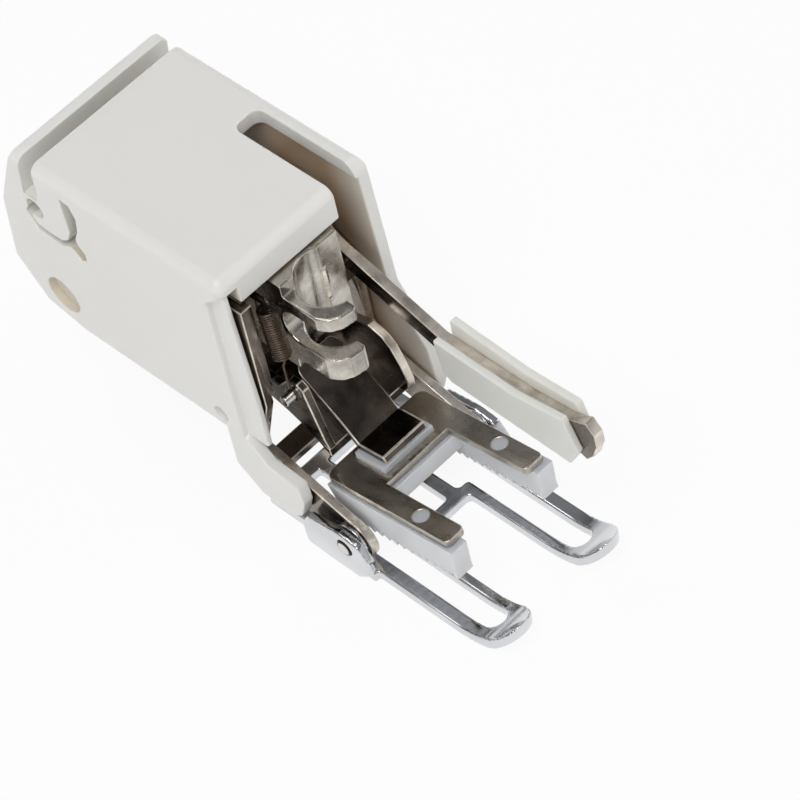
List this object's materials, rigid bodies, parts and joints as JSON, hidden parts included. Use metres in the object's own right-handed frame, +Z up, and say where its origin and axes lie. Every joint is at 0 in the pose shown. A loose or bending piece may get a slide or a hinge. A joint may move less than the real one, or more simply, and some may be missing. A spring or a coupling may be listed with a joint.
{
  "type": "sewing machine presser foot",
  "caption": "Even-feed presser foot with white housing, bar clamp, driving lever, toothed feed and open-toe chrome sole.",
  "frame": {"origin": "on the presser bar axis at the height of the clamp screw slot", "axes": "+Z up along the presser bar, -Y towards the user and the toes, +X to the user's right"},
  "size_m": [0.0242, 0.0753, 0.042],
  "materials": {
    "white_plastic": "glossy warm white moulding",
    "nickel_sheet": "nickel-plated pressed sheet",
    "cast_nickel": "satin nickel-plated casting",
    "rivet_steel": "set rivets, nickel plated",
    "sheath_plastic": "white plastic sheath",
    "pin_steel": "turned steel",
    "dark_plate": "dark nickel plate",
    "feed_nickel": "satin nickel plate",
    "tooth_plastic": "translucent white plastic",
    "spring_steel": "dark spring wire",
    "sole_chrome": "bright chrome"
  },
  "bodies": {
    "root": {"housing": "white_plastic", "frame": "nickel_sheet", "shank": "cast_nickel", "shank_rivets": "rivet_steel", "lever_axle": "pin_steel", "spring_anchor": "pin_steel", "sole_pin_left": "pin_steel", "sole_pin_right": "pin_steel", "sole_spacer_left": "sole_chrome", "sole_spacer_right": "sole_chrome"},
    "lever": {"lever_arm": "nickel_sheet", "lever_sheath": "sheath_plastic", "lever_bush": "pin_steel", "crank_pin": "pin_steel"},
    "link": {"push_link": "dark_plate"},
    "shuttle": {"carrier_axle": "pin_steel", "axle_collars": "pin_steel", "return_spring": "spring_steel"},
    "feed": {"feed_carrier": "dark_plate", "feed_plate": "feed_nickel", "feed_teeth": "tooth_plastic", "pressure_tongue": "dark_plate", "spring_post": "pin_steel"},
    "sole": {"sole": "sole_chrome"}
  },
  "joints": [
    {"name": "lever_swing", "type": "hinge", "parent": "root", "child": "lever", "pos_m": [0.008, 0.016, 0.0016], "axis": [-1, 0, 0], "range_deg": [0, 32]},
    {"name": "link_swing", "type": "hinge", "parent": "lever", "child": "link", "pos_m": [0.0063, 0.0189, 0.0016], "axis": [-1, 0, 0], "range_deg": [-32, 0]},
    {"name": "feed_shift", "type": "slide", "parent": "root", "child": "shuttle", "axis": [0, -1, 0], "range_m": [-0.0015, 0.0015]},
    {"name": "feed_press", "type": "hinge", "parent": "shuttle", "child": "feed", "pos_m": [0, 0.029, -0.011], "axis": [1, 0, 0], "range_deg": [0, 8.5], "deforming": ["return_spring"]},
    {"name": "sole_tilt", "type": "hinge", "parent": "root", "child": "sole", "pos_m": [0, -0.0072, -0.0262], "axis": [1, 0, 0], "range_deg": [-3, 3]}
  ],
  "couplings": [
    {"joint": "link_swing", "follows": "lever_swing", "ratio": -1},
    {"joint": "feed_press", "follows": "lever_swing", "ratio": 0.2656}
  ]
}
